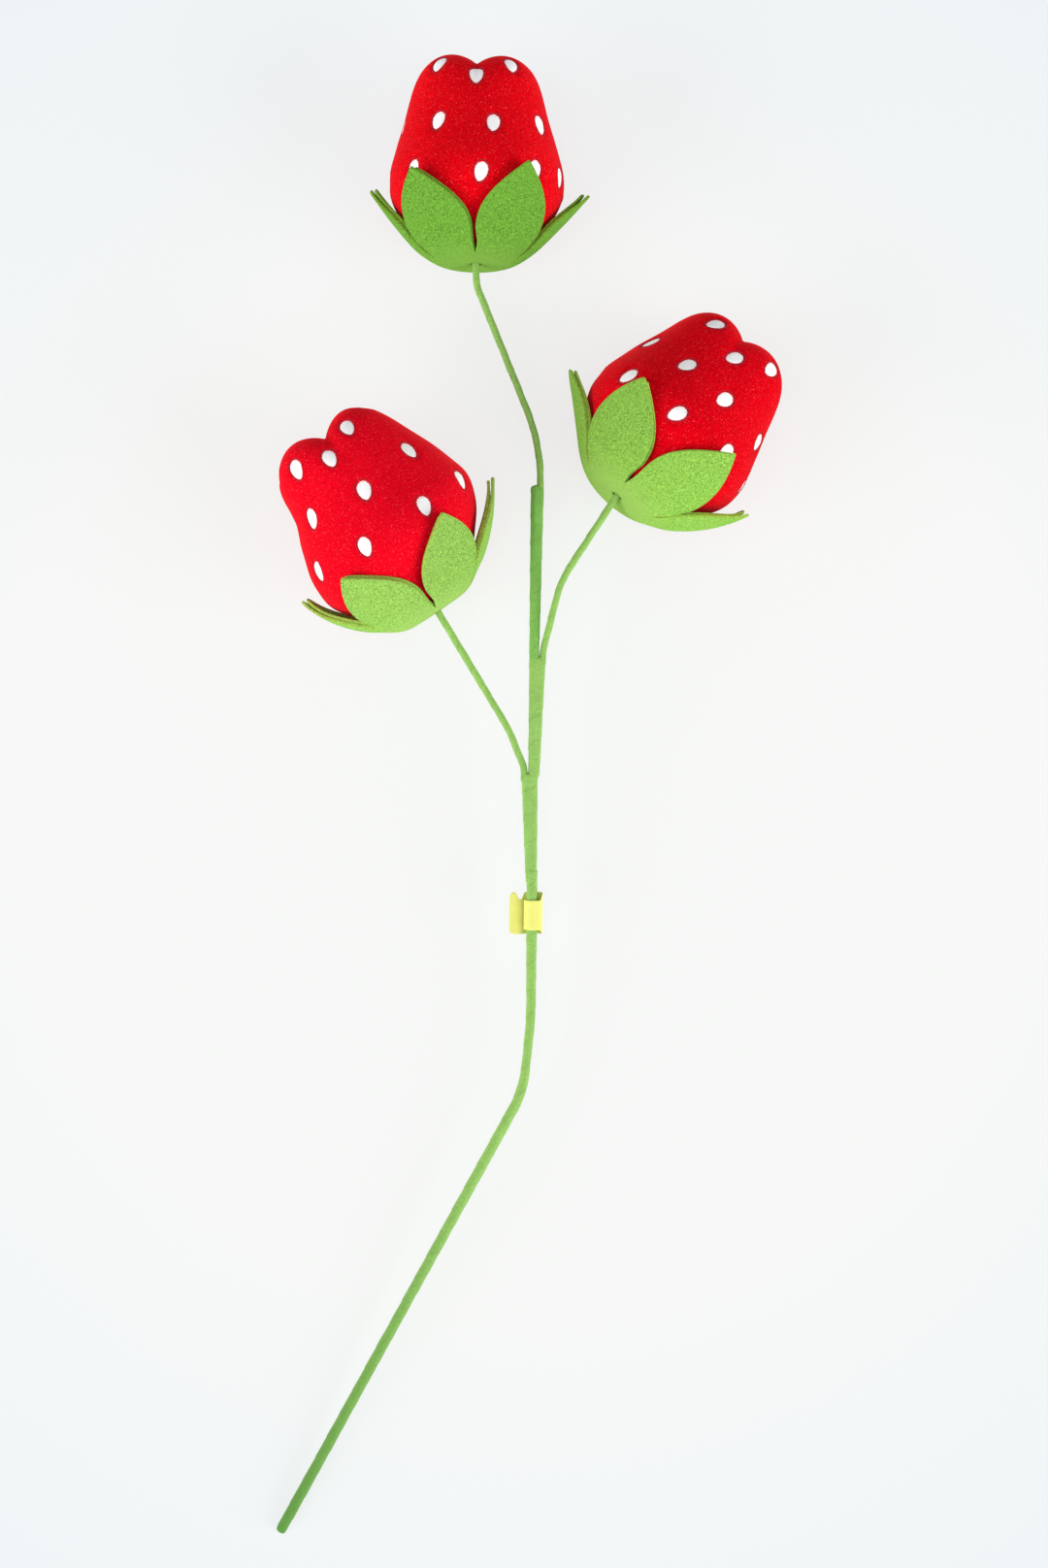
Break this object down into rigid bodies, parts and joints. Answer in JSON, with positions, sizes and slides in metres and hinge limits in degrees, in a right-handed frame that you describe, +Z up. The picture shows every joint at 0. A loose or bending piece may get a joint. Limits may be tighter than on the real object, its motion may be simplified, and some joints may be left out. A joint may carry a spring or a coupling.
{
  "type": "fabric strawberry spray",
  "caption": "Decorative pick of stuffed velvet strawberries with felt calyxes on bendable taped wire branches.",
  "frame": {"origin": "middle of the bounding box's base, on the surface that the spray lies on", "axes": "+Y along the stem towards the berries, +Z up from the surface, +X to the right seen from above"},
  "size_m": [0.231, 0.6723, 0.0865],
  "materials": {
    "berry_velvet": "matte velvet",
    "seed_stitching": "satin stitch",
    "calyx_felt": "matte felt",
    "polyester_filling": "matte",
    "stem_tape": "matte waxed paper tape",
    "steel_wire": "satin",
    "hot_glue": "satin",
    "knot_thread": "matte",
    "label_paper": "matte paper"
  },
  "bodies": {
    "stem": {"stem_wire": "steel_wire", "stem_wrap": "stem_tape", "lower_binding": "stem_tape", "middle_binding": "stem_tape", "upper_binding": "stem_tape", "lower_tail_wire": "steel_wire", "middle_tail_wire": "steel_wire", "upper_tail_wire": "steel_wire"},
    "stem_foot": {"foot_wire": "steel_wire", "foot_wrap": "stem_tape"},
    "label": {"label": "label_paper"},
    "left_branch": {"left_branch_wire": "steel_wire", "left_branch_wrap": "stem_tape"},
    "left_berry": {"left_berry_cover": "berry_velvet", "left_berry_filling": "polyester_filling", "left_berry_seeds": "seed_stitching", "left_calyx_outer": "calyx_felt", "left_calyx_inner": "calyx_felt", "left_anchor_wire": "steel_wire", "left_glue_disc": "hot_glue", "left_tip_knot": "knot_thread"},
    "right_branch": {"right_branch_wire": "steel_wire", "right_branch_wrap": "stem_tape"},
    "right_berry": {"right_berry_cover": "berry_velvet", "right_berry_filling": "polyester_filling", "right_berry_seeds": "seed_stitching", "right_calyx_outer": "calyx_felt", "right_calyx_inner": "calyx_felt", "right_anchor_wire": "steel_wire", "right_glue_disc": "hot_glue", "right_tip_knot": "knot_thread"},
    "top_branch": {"top_branch_wire": "steel_wire", "top_branch_wrap": "stem_tape"},
    "top_berry": {"top_berry_cover": "berry_velvet", "top_berry_filling": "polyester_filling", "top_berry_seeds": "seed_stitching", "top_calyx_outer": "calyx_felt", "top_calyx_inner": "calyx_felt", "top_anchor_wire": "steel_wire", "top_glue_disc": "hot_glue", "top_tip_knot": "knot_thread"}
  },
  "joints": [
    {"name": "stem_bend", "type": "hinge", "parent": "stem", "child": "stem_foot", "pos_m": [-0.00228, -0.12971, 0.01829], "axis": [0, 0, 1], "range_deg": [-35, 27]},
    {"name": "label_turn", "type": "hinge", "parent": "stem", "child": "label", "pos_m": [0.0016, -0.04883, 0.02382], "axis": [0.0087, 0.9976, 0.068], "continuous": true},
    {"name": "left_branch_bend", "type": "hinge", "parent": "stem", "child": "left_branch", "pos_m": [-0.00173, 0.0166, 0.02827], "axis": [0, 0, 1], "range_deg": [-4, 25]},
    {"name": "left_berry_sway", "type": "hinge", "parent": "left_branch", "child": "left_berry", "pos_m": [-0.04039, 0.08661, 0.04207], "axis": [0, 0, 1], "range_deg": [-8, 25]},
    {"name": "right_branch_bend", "type": "hinge", "parent": "stem", "child": "right_branch", "pos_m": [0.00653, 0.0689, 0.03185], "axis": [0, 0, 1], "range_deg": [-25, 4]},
    {"name": "right_berry_sway", "type": "hinge", "parent": "right_branch", "child": "right_berry", "pos_m": [0.03921, 0.13706, 0.04898], "axis": [0, 0, 1], "range_deg": [-25, 6]},
    {"name": "top_branch_bend", "type": "hinge", "parent": "stem", "child": "top_branch", "pos_m": [0.00543, 0.14404, 0.03697], "axis": [0, 0, 1], "range_deg": [-12, 14]},
    {"name": "top_berry_sway", "type": "hinge", "parent": "top_branch", "child": "top_berry", "pos_m": [-0.02321, 0.2404, 0.04472], "axis": [0, 0, 1], "range_deg": [-20, 20]}
  ]
}
